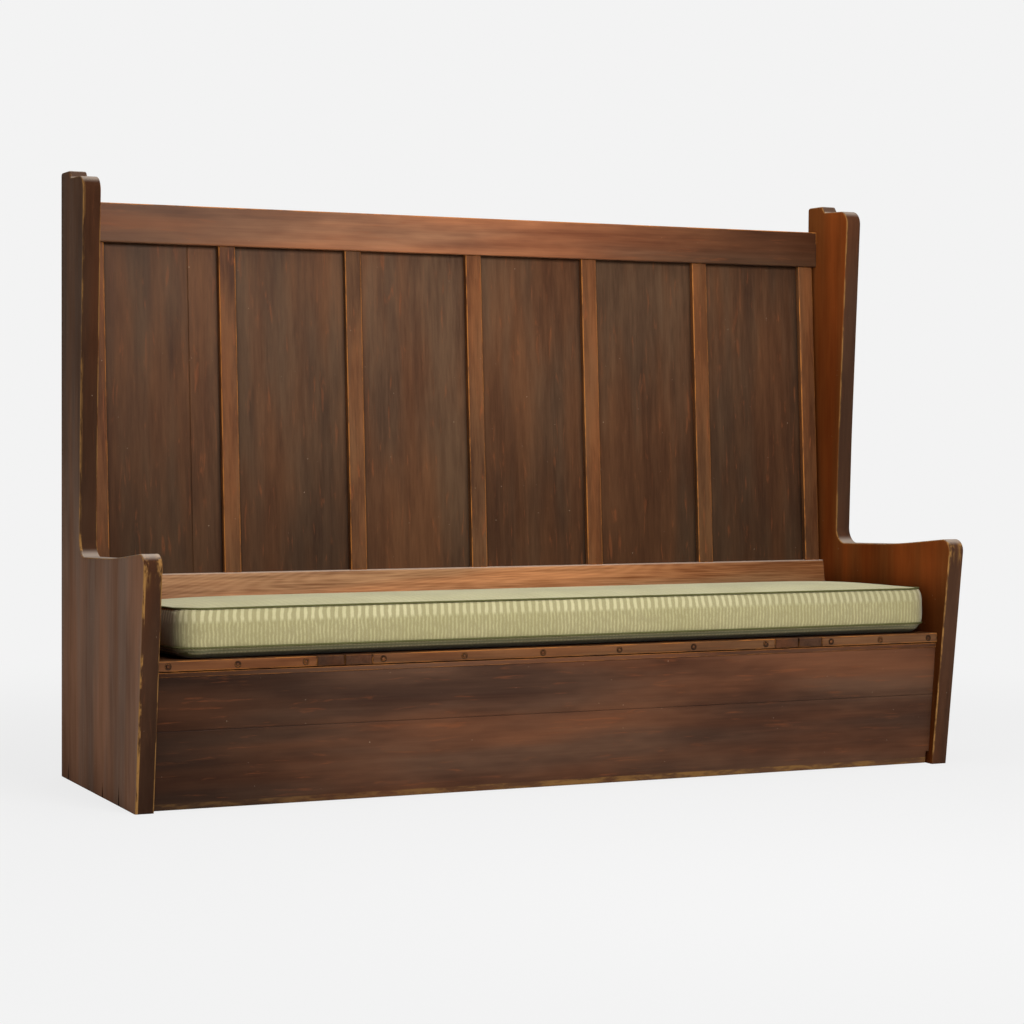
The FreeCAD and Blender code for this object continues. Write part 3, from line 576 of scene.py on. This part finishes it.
def cloth(name, props):
    """Woven stripe on the cover's own map: broad satin stripes along the top of the band, lines
    at half their pitch below them, and plain cloth on the top and underneath.
    """
    w = Wiring(name)
    mapped = w.node("UVMap", uv_map="Cover").outputs[0]
    parted = w.node("SeparateXYZ", {0: mapped})
    wander = w.maths("MULTIPLY", w.noise(mapped, (26.0, 34.0, 1.0), 3.0, 0.6), 0.008)
    across = w.maths("DIVIDE", w.maths("ADD", parted.outputs[0], wander), props.stripe)
    phase = w.maths("FRACT", across)
    broad = w.maths("MULTIPLY", w.step(phase, 0.02, 0.14), w.step(phase, 0.46, 0.58, 1.0, 0.0))
    twice = w.maths("FRACT", w.maths("MULTIPLY", across, 2.0))
    lines = w.maths("MULTIPLY", w.step(twice, 0.05, 0.30), w.step(twice, 0.45, 0.70, 1.0, 0.0))
    seen = w.node("Attribute", attribute_name="band_height").outputs["Fac"]
    # The stripes are woven; their broad bright satin look along the top of the band is a painted sheen,
    # where the band turns up to the light
    high = w.step(seen, 0.64, 0.76)
    upper = w.step(seen, 1.4, 1.6)
    dark, light = tuple(props.dark), tuple(props.light)
    tall = w.blend(broad, dark, light)
    uneven = w.step(w.noise(mapped, (60.0, 45.0, 1.0), 3.0, 0.7), 0.35, 0.60, 0.25, 1.0)
    # Below, the same stripes show as thin darker lines: painted shade where the band turns away from
    # the light
    thin = w.blend(
        w.maths("MULTIPLY", lines, uneven),
        [c * f for c, f in zip(dark, (0.82, 0.80, 0.70))],
        [c * f for c, f in zip(light, (0.79, 0.77, 0.66))])
    place = w.node("SeparateXYZ", {0: w.node("TexCoord").outputs["Object"]})
    # Painted shade: the band's broad stripes darker towards the right end
    shaded_right_end = w.step(place.outputs[0], 0.1, 0.9, 1.0, 0.84)
    base = w.blend(high, thin, w.scaled(tall, shaded_right_end))
    base = w.blend(w.step(seen, 0.050, 0.075, 1.0, 0.0), base, tuple(props.under))
    base = w.blend(w.maths("MULTIPLY", upper, 0.8), base, tuple(props.top))
    thread = w.node("TexWave", {
        "Vector": w.stretched(mapped, (1.0, 1.0, 1.0)), "Scale": 260.0, "Distortion": 0.6,
        "Detail": 1.0}, wave_type="BANDS", bands_direction="DIAGONAL").outputs["Fac"]
    base = w.blend(w.maths("MULTIPLY", thread, 0.30), base, tint(232, 228, 192))
    nap = w.noise(mapped, (900.0, 900.0, 1.0), 2.0, 0.7)
    base = w.blend(w.step(nap, 0.50, 0.70, 0.0, 0.35), base, [c * 0.55 for c in dark])
    soil = w.noise(mapped, (6.0, 6.0, 6.0), 3.0)
    base = w.blend(w.step(soil, 0.35, 0.65, 0.0, 0.22), base, tint(150, 142, 92))
    under = w.node("Attribute", attribute_name="underside").outputs["Fac"]
    base = w.blend(w.step(under, 0.30, 0.55), base, tuple(props.under))
    bump = w.node("Bump", {"Height": thread, "Distance": 0.0004, "Strength": 0.5})
    shader = w.node("BsdfPrincipled", {
        "Base Color": base, "Roughness": 0.85, "Normal": bump.outputs[0],
        "Specular IOR Level": 0.2, "Sheen Weight": 0.25, "Sheen Roughness": 0.5,
    })
    return w.close(shader.outputs[0])


def piping_cloth(name, props):
    """Dark green corded edge with a twisted rib."""
    w = Wiring(name)
    rib = w.node("TexWave", {
        "Vector": w.node("TexCoord").outputs["Object"], "Scale": 160.0}, wave_type="BANDS",
        bands_direction="DIAGONAL").outputs["Fac"]
    base = w.blend(w.maths("MULTIPLY", rib, 0.4), tuple(props.cord), tint(150, 146, 98))
    bump = w.node("Bump", {"Height": rib, "Distance": 0.0005, "Strength": 0.6})
    shader = w.node("BsdfPrincipled", {
        "Base Color": base, "Roughness": 0.8, "Normal": bump.outputs[0], "Specular IOR Level": 0.2,
    })
    return w.close(shader.outputs[0])


# Cushion


def seat_frame(behind, above):
    """Y and Z of places behind the seat's front edge and above its raked top, as arrays."""
    y = SEAT_EDGE.y + behind * math.cos(SEAT_RAKE) + above * math.sin(SEAT_RAKE)
    z = SEAT_EDGE.z - behind * math.sin(SEAT_RAKE) + above * math.cos(SEAT_RAKE)
    return y, z


def rounded_plan(count_x, count_y, half_x, half_y, radius):
    """Grid over a rectangle with rounded corners.

    Rows and columns are even between the corners. In a corner's square, where a and b run
    from 0 to 1 outward, the point goes to a * sqrt(1 - b * b / 2) and b * sqrt(1 - a * a / 2),
    which lays the square over a quarter disc and leaves its inner sides in place.
    """
    x = np.linspace(-half_x, half_x, count_x)[:, None] * np.ones((1, count_y))
    y = np.linspace(-half_y, half_y, count_y)[None, :] * np.ones((count_x, 1))
    a = np.clip((np.abs(x) - (half_x - radius)) / radius, 0.0, 1.0)
    b = np.clip((np.abs(y) - (half_y - radius)) / radius, 0.0, 1.0)
    turned_a = a * np.sqrt(1.0 - b * b / 2.0)
    turned_b = b * np.sqrt(1.0 - a * a / 2.0)
    x = np.where(a > 0.0, np.sign(x) * (half_x - radius + radius * turned_a), x)
    y = np.where(b > 0.0, np.sign(y) * (half_y - radius + radius * turned_b), y)
    return x, y


def rim_of(grid):
    """The grid's outer ring of values, once round, counterclockwise from its first corner."""
    return np.concatenate([grid[:-1, 0], grid[-1, :-1], grid[:0:-1, -1], grid[0, :0:-1]])


def quads_of(index):
    """Quads of a grid of vertex numbers, wound with the first axis before the second."""
    corners = [index[:-1, :-1], index[1:, :-1], index[1:, 1:], index[:-1, 1:]]
    return np.stack(corners, axis=-1).reshape(-1, 4)


def build_cover(props, cell, slack):
    """Closed cover of the box cushion: a top, a band round it and a bottom, welded at the seams.

    Every ring of the cover is a rounded_plan rim. With t from 0 at the low seam to 1 at the
    high one, the ring is drawn in by draw_in * abs(2t - 1)^5, so the band bulges between the
    seams. The high seam dips by dip * (abs(u) * abs(v))^6 at the corners. The top rises by
    crown * ((1 - u^8)(1 - v^2))^0.6. The bottom falls from the low seam along a quarter
    ellipse, 1 - sqrt(1 - (1 - s)^2) of its height, with s the share of undercut covered.
    """
    half_x = INNER_X - (props.left_gap + props.right_gap) / 2 - slack
    middle_x = (props.left_gap - props.right_gap) / 2
    half_y = props.depth / 2 - slack
    count_x = int(round(2 * half_x / cell)) + 1
    count_y = int(round(2 * half_y / cell)) + 1
    low = props.low_seam + slack
    high = props.high_seam - slack
    rows = int(round((high - low) / cell)) + 1
    rise = np.linspace(0.0, 1.0, rows)
    drawn = props.draw_in * np.abs(2.0 * rise - 1.0) ** 5
    plans = [rounded_plan(count_x, count_y, half_x - inward, half_y - inward, props.corner_radius)
             for inward in drawn]
    x, y = plans[-1]
    u = x / np.abs(x).max()
    v = y / np.abs(y).max()
    corner = (np.abs(u) * np.abs(v)) ** 6
    dome = np.clip((1.0 - u ** 8) * (1.0 - v ** 2), 0.0, 1.0) ** 0.6
    top_z = high - props.dip * corner + (props.crown - slack) * dome
    floor_x, floor_y = plans[0]
    beyond_x = np.maximum(np.abs(floor_x) - (np.abs(floor_x).max() - props.corner_radius), 0.0)
    beyond_y = np.maximum(np.abs(floor_y) - (np.abs(floor_y).max() - props.corner_radius), 0.0)
    edge = props.corner_radius - np.hypot(beyond_x, beyond_y)
    share = np.clip(edge / props.undercut, 0.0, 1.0)
    floor_z = low - (low - 0.0015) * np.sqrt(1.0 - (1.0 - share) ** 2)
    rim_top = rim_of(top_z)
    count_top = x.size
    rim = len(rim_top)
    points = [np.stack([x, y, top_z], -1).reshape(-1, 3),
              np.stack([floor_x, floor_y, floor_z], -1).reshape(-1, 3)]
    for row in range(1, rows - 1):
        row_z = low + (rim_top - low) * rise[row]
        points.append(np.stack([rim_of(plans[row][0]), rim_of(plans[row][1]), row_z], -1))
    points = np.concatenate(points)
    top_index = np.arange(count_top).reshape(x.shape)
    floor_index = top_index + count_top
    ring = [rim_of(floor_index)]
    for row in range(rows - 2):
        ring.append(2 * count_top + row * rim + np.arange(rim))
    ring.append(rim_of(top_index))
    ring = np.stack(ring)
    wrapped = np.concatenate([ring, ring[:, :1]], axis=1)
    band_faces = quads_of(wrapped.T)
    faces = np.concatenate([quads_of(top_index), quads_of(floor_index)[:, ::-1], band_faces])
    rim_x = rim_of(plans[rows // 2][0])
    rim_y = rim_of(plans[rows // 2][1])
    steps = np.hypot(np.diff(rim_x, append=rim_x[0]), np.diff(rim_y, append=rim_y[0]))
    girth = rim_x[0] + np.concatenate([[0.0], np.cumsum(steps)])
    heights = low + (high - low) * rise
    plan_uv = np.stack([x, y], -1).reshape(-1, 2)
    ring_uv = np.stack([np.broadcast_to(girth, wrapped.shape),
                        np.broadcast_to(heights[:, None], wrapped.shape)], -1)
    grid = quads_of(np.arange(wrapped.size).reshape(wrapped.shape).T)
    uv = np.concatenate([
        plan_uv[quads_of(top_index)], plan_uv[quads_of(top_index)[:, ::-1]],
        ring_uv.reshape(-1, 2)[grid],
    ]).reshape(-1, 2)
    corners = 4 * len(quads_of(top_index))
    hidden = (share > 0.0).astype(float).reshape(-1)[quads_of(top_index)[:, ::-1]].reshape(-1)
    rising = np.broadcast_to(rise[:, None], wrapped.shape).reshape(-1)[grid].reshape(-1)
    seen = np.concatenate([np.full(corners, 2.0), np.full(corners, 0.5), rising])
    below = np.concatenate([np.zeros(corners), hidden, np.zeros(rising.size)])
    middle_y = props.front_inset + props.depth / 2
    placed_y, placed_z = seat_frame(middle_y + points[:, 1], points[:, 2])
    placed = np.stack([points[:, 0] + middle_x, placed_y, placed_z], -1)
    seams = {"top": rim_of(top_index), "floor": ring[1]}  # the lower piping lies one cell up
    return placed, faces, uv, seen, below, seams


def mesh_object(name, points, faces):
    """Mesh object at the origin from arrays of points and quads."""
    mesh = bpy.data.meshes.new(name)
    mesh.from_pydata(points.tolist(), [], faces.tolist())
    mesh.update()
    made = bpy.data.objects.new(name, mesh)
    bpy.context.scene.collection.objects.link(made)
    return made


def tube(name, line, radius, sides=10):
    """Closed round tube: a circle carried along a closed line, square to it at each point."""
    ahead = np.roll(line, -1, axis=0) - np.roll(line, 1, axis=0)
    ahead /= np.linalg.norm(ahead, axis=1, keepdims=True)
    up = np.array([0.0, math.sin(SEAT_RAKE), math.cos(SEAT_RAKE)])
    side = np.cross(ahead, up)
    side /= np.linalg.norm(side, axis=1, keepdims=True)
    rise = np.cross(side, ahead)
    turn = np.linspace(0.0, 2 * math.pi, sides, endpoint=False)
    circle = (np.cos(turn)[None, :, None] * side[:, None, :]
              + np.sin(turn)[None, :, None] * rise[:, None, :])
    points = (line[:, None, :] + radius * circle).reshape(-1, 3)
    index = np.arange(len(points)).reshape(len(line), sides)
    index = np.concatenate([index, index[:1]])
    index = np.concatenate([index, index[:, :1]], axis=1)
    return mesh_object(name, points, quads_of(index)[:, ::-1])


def swell(cover, seams, props):
    """Fills the cover by cloth pressure with its seams held.

    How far a point may move is capped, and a point that sinks into the seat is lifted back.
    """
    mesh = cover.data
    before = np.zeros(len(mesh.vertices) * 3)
    mesh.vertices.foreach_get("co", before)
    held = cover.vertex_groups.new(name="seams")
    held.add([int(i) for ring in seams.values() for i in ring], 1.0, "ADD")
    filling = cover.modifiers.new("Filling", "CLOTH")
    filling.settings.quality = 4
    filling.settings.mass = 0.3
    filling.settings.use_pressure = True
    filling.settings.uniform_pressure_force = props.pressure
    filling.settings.vertex_group_mass = "seams"
    filling.settings.effector_weights.gravity = 0.0
    filling.settings.tension_stiffness = 25.0
    filling.settings.compression_stiffness = 25.0
    filling.settings.bending_stiffness = 2.0
    filling.collision_settings.use_self_collision = False
    filling.point_cache.frame_start = 1
    filling.point_cache.frame_end = FILLING_FRAMES
    for moment in range(1, FILLING_FRAMES + 1):
        bpy.context.scene.frame_set(moment)
    swelled = cover.evaluated_get(bpy.context.evaluated_depsgraph_get())
    after = np.zeros(len(before))
    swelled.data.vertices.foreach_get("co", after)
    cover.modifiers.remove(filling)
    moved = (after - before).reshape(-1, 3)
    far = np.linalg.norm(moved, axis=1, keepdims=True)
    moved *= np.minimum(1.0, MOST_SWELL / np.maximum(far, 1e-9))
    after = before.reshape(-1, 3) + moved
    above = ((after[:, 1] - SEAT_EDGE.y) * math.sin(SEAT_RAKE)
             + (after[:, 2] - SEAT_EDGE.z) * math.cos(SEAT_RAKE))
    sunk = np.maximum(0.0, SEAT_ROOM - above)
    after += sunk[:, None] * np.array([0.0, math.sin(SEAT_RAKE), math.cos(SEAT_RAKE)])
    mesh.vertices.foreach_set("co", after.reshape(-1))
    mesh.update()
    bpy.context.scene.frame_set(1)


# Operators


class SETTLE_OT_stage(bpy.types.Operator):
    """Makes the camera, the pale floor, the backdrop and the soft lamps"""

    bl_idname = "settle.stage"
    bl_label = "Studio"

    def execute(self, context):
        props = context.scene.settle_stage
        context.scene.view_settings.view_transform = "Standard"
        self.make_camera(context, props)
        self.make_world(context, props)
        self.make_floor(props)
        self.make_lamps(props)
        return {"FINISHED"}

    def make_camera(self, context, props):
        turn, tilt, roll = props.camera_turn, props.camera_tilt, props.camera_roll
        ahead = Vector((
            math.sin(turn) * math.cos(tilt), math.cos(turn) * math.cos(tilt), math.sin(tilt)))
        level = Vector((math.cos(turn), -math.sin(turn), 0.0))
        above = level.cross(ahead)
        right = level * math.cos(roll) + above * math.sin(roll)
        up = above * math.cos(roll) - level * math.sin(roll)
        camera = bpy.data.objects.new("camera", bpy.data.cameras.new("camera"))
        camera.data.lens = props.lens
        camera.data.sensor_width = 36.0
        camera.data.clip_end = 60.0
        axes = Matrix((right, up, -ahead)).transposed().to_4x4()
        camera.matrix_world = Matrix.Translation(props.camera_place) @ axes
        context.scene.collection.objects.link(camera)
        context.scene.camera = camera

    def make_world(self, context, props):
        world = bpy.data.worlds.new("studio")
        context.scene.world = world
        world.use_nodes = True
        tree = world.node_tree
        tree.nodes.clear()
        ray = tree.nodes.new("ShaderNodeLightPath")
        seen = ray.outputs["Is Camera Ray"]
        for other in ("Is Transmission Ray", "Is Glossy Ray"):
            either = tree.nodes.new("ShaderNodeMath")
            either.operation = "MAXIMUM"
            tree.links.new(seen, either.inputs[0])
            tree.links.new(ray.outputs[other], either.inputs[1])
            seen = either.outputs[0]
        lit = tree.nodes.new("ShaderNodeBackground")
        lit.inputs["Strength"].default_value = props.room_light
        shown = tree.nodes.new("ShaderNodeBackground")
        shown.inputs["Color"].default_value = (*props.backdrop, 1.0)
        lit.inputs["Color"].default_value = (1.0, 1.0, 1.0, 1.0)
        both = tree.nodes.new("ShaderNodeMixShader")
        tree.links.new(seen, both.inputs[0])
        tree.links.new(lit.outputs[0], both.inputs[1])
        tree.links.new(shown.outputs[0], both.inputs[2])
        out = tree.nodes.new("ShaderNodeOutputWorld")
        tree.links.new(both.outputs[0], out.inputs[0])

    def make_floor(self, props):
        reach = 9.0
        points = np.array([
            (-reach, -reach, 0.0), (reach, -reach, 0.0), (reach, reach, 0.0), (-reach, reach, 0.0)])
        floor = mesh_object("floor", points, np.array([[0, 1, 2, 3]]))
        w = Wiring("floor")
        place = w.node("TexCoord").outputs["Object"]
        away = w.node("VectorMath", {0: place}, operation="LENGTH").outputs["Value"]
        ray = w.node("LightPath")
        seen = w.maths("MAXIMUM", ray.outputs["Is Camera Ray"], ray.outputs["Is Transmission Ray"])
        seen = w.maths("MAXIMUM", seen, ray.outputs["Is Glossy Ray"])
        shown = w.maths("MULTIPLY", seen, w.step(away, 1.2, 3.0, 0.88, 1.0))
        paint = w.node("BsdfDiffuse", {"Color": tuple(props.backdrop)})
        glow = w.node("Emission", {"Color": tuple(props.backdrop), "Strength": 1.0})
        both = w.node("MixShader", {0: shown, 1: paint.outputs[0], 2: glow.outputs[0]})
        floor.data.materials.append(w.close(both.outputs[0]))

    def make_lamps(self, props):
        self.lamp("key", (0.0, -2.9, 2.3), (0.0, 0.2, 0.8), (1.5, 1.1), props.key_light)
        self.lamp("top", (-0.2, -0.5, 3.3), (0.0, 0.0, 0.0), (2.6, 2.0), props.top_light)
        self.lamp("back", (0.4, 3.4, 1.8), (0.0, 0.3, 0.7), (2.6, 1.8), props.back_light)
        self.lamp("side", (-3.6, -1.6, 1.0), (-1.0, 0.0, 0.5), (1.6, 1.6), props.side_light)

    def lamp(self, name, place, aim, size, power):
        light = bpy.data.lights.new(name, "AREA")
        light.shape = "RECTANGLE"
        light.size, light.size_y = size
        light.energy = power
        made = bpy.data.objects.new(name, light)
        made.location = place
        made.rotation_euler = (Vector(aim) - Vector(place)).to_track_quat("-Z", "Y").to_euler()
        bpy.context.scene.collection.objects.link(made)


class SETTLE_OT_end_panels(bpy.types.Operator):
    """Finishes the two plank ends"""

    bl_idname = "settle.end_panels"
    bl_label = "End panels"

    def execute(self, context):
        for node, shade in PANEL_SHADES.items():
            left_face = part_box(node)[0].x
            finish_node(node, wood(node + "_finish", "panel", "z", shade, left_face=left_face))
        return {"FINISHED"}


class SETTLE_OT_back(bpy.types.Operator):
    """Finishes the rails, battens and boards of the back"""

    bl_idname = "settle.back"
    bl_label = "Back"

    def execute(self, context):
        finish_boards("rail", "x", ["top_rail"], wear_above=1.30)
        finish_boards("low", "x", ["low_rail"])
        battens = ["batten_%d" % (i + 1) for i in range(7)]
        finish_boards("batten", "z", battens, BATTEN_SHADES)
        for i in range(7):
            node = "back_board_%d" % (i + 1)
            cut = "first_bay" if i < 2 else node
            low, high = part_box(node)
            beside = [name for name in battens
                      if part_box(name)[1].x > low.x - 0.02 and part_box(name)[0].x < high.x + 0.02]
            finish_node(node, wood(
                node + "_finish", "board", "z", BOARD_SHADES[i], cut=cut, battens=beside))
        return {"FINISHED"}


class SETTLE_OT_seat(bpy.types.Operator):
    """Finishes the seat boards, the lid, the pegged nosings and the cleats"""

    bl_idname = "settle.seat"
    bl_label = "Seat and lid"

    def execute(self, context):
        finish_boards("seat", "x", [
            "seat_board_left", "seat_board_right", "seat_rear_board", "lid_board_front",
            "lid_board_rear"])
        for part in ("left", "lid", "right"):
            node, pegs = "nosing_" + part, "nosing_pegs_" + part
            shade = NOSING_SHADES[part]
            finish_node(node, wood(node + "_finish", "seat", "x", shade, part, lined=node))
            finish_node(pegs, wood(pegs + "_finish", "seat", "y", PEG_SHADE, part, wear=0.0))
        for node in ("seat_cleat_left", "seat_cleat_right", "lid_cleat_left", "lid_cleat_right"):
            finish_node(node, wood(node + "_finish", "cleat", "y", CLEAT_SHADE, lined=node))
        finish_boards("inner", "y", ["lid_batten_left", "lid_batten_right"])
        return {"FINISHED"}


class SETTLE_OT_seat_box(bpy.types.Operator):
    """Finishes the front, the bearers and the floor of the seat box"""

    bl_idname = "settle.seat_box"
    bl_label = "Seat box"

    def execute(self, context):
        finish_boards("front", "x", ["front_board_lower", "front_board_upper"], cut="front")
        finish_boards("front", "x", ["front_top_strip"], wear=0.6)
        finish_boards("inner", "x", [
            "front_bearer", "back_bearer", "floor_bearer_front", "floor_bearer_back",
            "box_floor_front", "box_floor_rear"])
        finish_boards("inner", "y", [
            "cross_bearer_left", "cross_bearer_right", "end_bearer_left", "end_bearer_right"])
        return {"FINISHED"}


class SETTLE_OT_hinges(bpy.types.Operator):
    """Finishes the brass butt hinges of the lid"""

    bl_idname = "settle.hinges"
    bl_label = "Hinges"

    def execute(self, context):
        brass = metal("aged_brass", BRASS, 0.34)
        for node in ("hinge_leaves_fixed", "hinge_leaves_moving", "hinge_pins"):
            finish_node(node, brass)
        return {"FINISHED"}


class SETTLE_OT_cushion(bpy.types.Operator):
    """Sews the striped box cushion and lays its piping"""

    bl_idname = "settle.cushion"
    bl_label = "Cushion"

    def execute(self, context):
        props = context.scene.settle_cushion
        points, faces, uv, seen, below, seams = build_cover(props, COVER_CELL, COVER_SLACK)
        cover = mesh_object("cushion_cover", points, faces)
        mesh = cover.data
        layer = mesh.uv_layers.new(name="Cover")
        layer.data.foreach_set("uv", uv.reshape(-1))
        for name, values in (("band_height", seen), ("underside", below)):
            made = mesh.attributes.new(name, "FLOAT", "CORNER")
            made.data.foreach_set("value", values)
        mesh.polygons.foreach_set("use_smooth", np.ones(len(mesh.polygons), bool))
        swell(cover, seams, props)
        smooth = cover.modifiers.new("Fine", "SUBSURF")
        smooth.levels = 1
        smooth.render_levels = 1
        mesh.materials.append(cloth("striped_cloth", props))
        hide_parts("cushion")
        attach(cover, "cushion")
        now = np.zeros(len(mesh.vertices) * 3)
        mesh.vertices.foreach_get("co", now)
        now = now.reshape(-1, 3)
        braid = piping_cloth("piping_cloth", props)
        for name, ring in seams.items():
            cord = tube("piping_" + name, now[ring], props.piping / 2)
            cord.data.polygons.foreach_set("use_smooth", np.ones(len(cord.data.polygons), bool))
            cord.data.materials.append(braid)
            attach(cord, "cushion")
        return {"FINISHED"}


PIECES = (
    SETTLE_OT_stage,
    SETTLE_OT_end_panels,
    SETTLE_OT_back,
    SETTLE_OT_seat,
    SETTLE_OT_seat_box,
    SETTLE_OT_hinges,
    SETTLE_OT_cushion,
)


class SETTLE_PT_panel(bpy.types.Panel):
    """Lists the pieces of the bench and their settings"""

    bl_idname = "SETTLE_PT_panel"
    bl_label = "Settle Bench"
    bl_space_type = "VIEW_3D"
    bl_region_type = "UI"
    bl_category = "Settle"

    def draw(self, context):
        for piece in PIECES:
            self.layout.operator(piece.bl_idname)
        for name in ("settle_wood", "settle_cushion", "settle_stage"):
            group = getattr(context.scene, name)
            box = self.layout.box()
            for prop in group.bl_rna.properties:
                if prop.identifier not in ("rna_type", "name"):
                    box.prop(group, prop.identifier)


GROUPS = {
    "settle_wood": SETTLE_PG_wood,
    "settle_cushion": SETTLE_PG_cushion,
    "settle_stage": SETTLE_PG_stage,
}


def register():
    for group in GROUPS.values():
        bpy.utils.register_class(group)
    for name, group in GROUPS.items():
        setattr(bpy.types.Scene, name, PointerProperty(type=group))
    for piece in PIECES:
        bpy.utils.register_class(piece)
    bpy.utils.register_class(SETTLE_PT_panel)


def unregister():
    bpy.utils.unregister_class(SETTLE_PT_panel)
    for piece in reversed(PIECES):
        bpy.utils.unregister_class(piece)
    for name, group in GROUPS.items():
        delattr(bpy.types.Scene, name)
        bpy.utils.unregister_class(group)


def main():
    """Makes every piece in order."""
    register()
    for piece in PIECES:
        group, name = piece.bl_idname.split(".")
        getattr(getattr(bpy.ops, group), name)()


if __name__ == "__main__":
    main()
